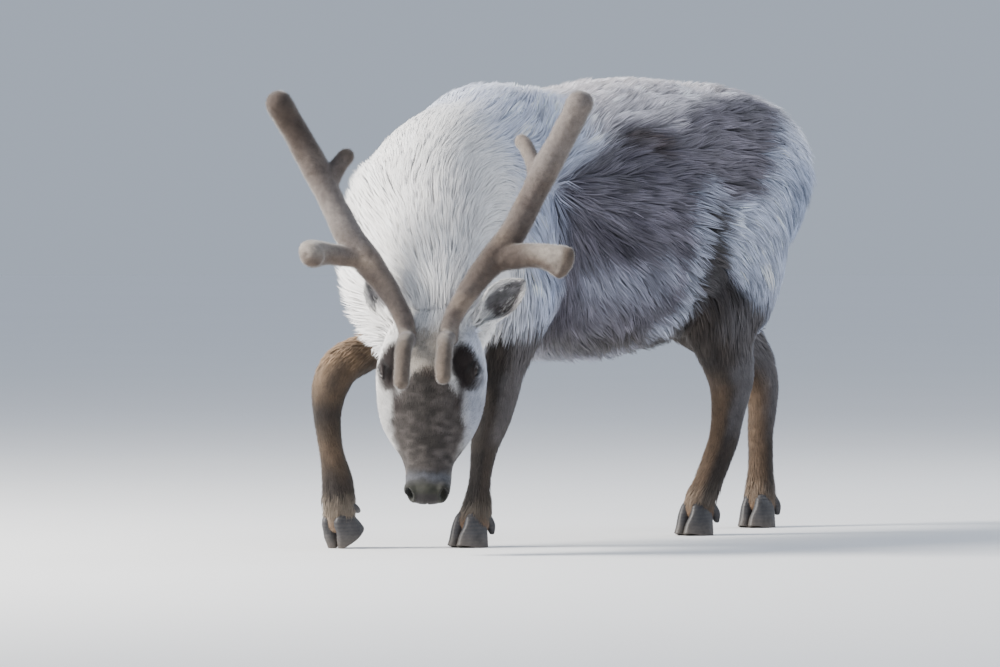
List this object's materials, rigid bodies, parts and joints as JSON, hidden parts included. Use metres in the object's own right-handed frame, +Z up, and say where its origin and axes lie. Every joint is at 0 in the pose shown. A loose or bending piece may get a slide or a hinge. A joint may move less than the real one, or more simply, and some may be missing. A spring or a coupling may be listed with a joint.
{
  "type": "reindeer",
  "caption": "Standing reindeer with velvet antlers, grazing with its head lowered, a forefoot set down on its toe; pale thick coat, short legs, broad cloven hooves.",
  "frame": {"origin": "under the middle of the animal's bounding box, at the level of its soles", "axes": "+Z up, -Y the way the body faces, +X the animal's left"},
  "size_m": [0.7304, 1.6738, 0.895],
  "materials": {
    "white_coat": "long soft white fur",
    "grey_coat": "long grey-brown fur with pale tips",
    "face_coat": "short dense fur, grey-brown nose bridge and white cheeks",
    "leg_coat": "short brown fur",
    "velvet": "short fuzzy velvet skin",
    "hoof_horn": "dull dark horn",
    "eye": "wet dark brown"
  },
  "bodies": {
    "root": {"antler_left_back_tine": "velvet", "antler_left_bez_tine": "velvet", "antler_left_brow_tine": "velvet", "antler_left_lower_beam": "velvet", "antler_left_upper_beam": "velvet", "antler_right_back_tine": "velvet", "antler_right_bez_tine": "velvet", "antler_right_brow_tine": "velvet", "antler_right_lower_beam": "velvet", "antler_right_upper_beam": "velvet", "barrel": "grey_coat", "ear_left": "face_coat", "ear_right": "face_coat", "eye_left": "eye", "eye_right": "eye", "foreleg_left_cannon": "leg_coat", "foreleg_left_claw_left": "hoof_horn", "foreleg_left_claw_right": "hoof_horn", "foreleg_left_dewclaw_left": "hoof_horn", "foreleg_left_dewclaw_right": "hoof_horn", "foreleg_left_foot": "leg_coat", "foreleg_left_upper": "leg_coat", "foreleg_right_cannon": "leg_coat", "foreleg_right_claw_left": "hoof_horn", "foreleg_right_claw_right": "hoof_horn", "foreleg_right_dewclaw_left": "hoof_horn", "foreleg_right_dewclaw_right": "hoof_horn", "foreleg_right_foot": "leg_coat", "foreleg_right_upper": "leg_coat", "head": "face_coat", "hindleg_left_cannon": "leg_coat", "hindleg_left_claw_left": "hoof_horn", "hindleg_left_claw_right": "hoof_horn", "hindleg_left_dewclaw_left": "hoof_horn", "hindleg_left_dewclaw_right": "hoof_horn", "hindleg_left_foot": "leg_coat", "hindleg_left_upper": "leg_coat", "hindleg_right_cannon": "leg_coat", "hindleg_right_claw_left": "hoof_horn", "hindleg_right_claw_right": "hoof_horn", "hindleg_right_dewclaw_left": "hoof_horn", "hindleg_right_dewclaw_right": "hoof_horn", "hindleg_right_foot": "leg_coat", "hindleg_right_upper": "leg_coat", "hindquarters": "grey_coat", "neck": "white_coat", "shoulders": "white_coat", "tail": "white_coat"}
  },
  "joints": []
}
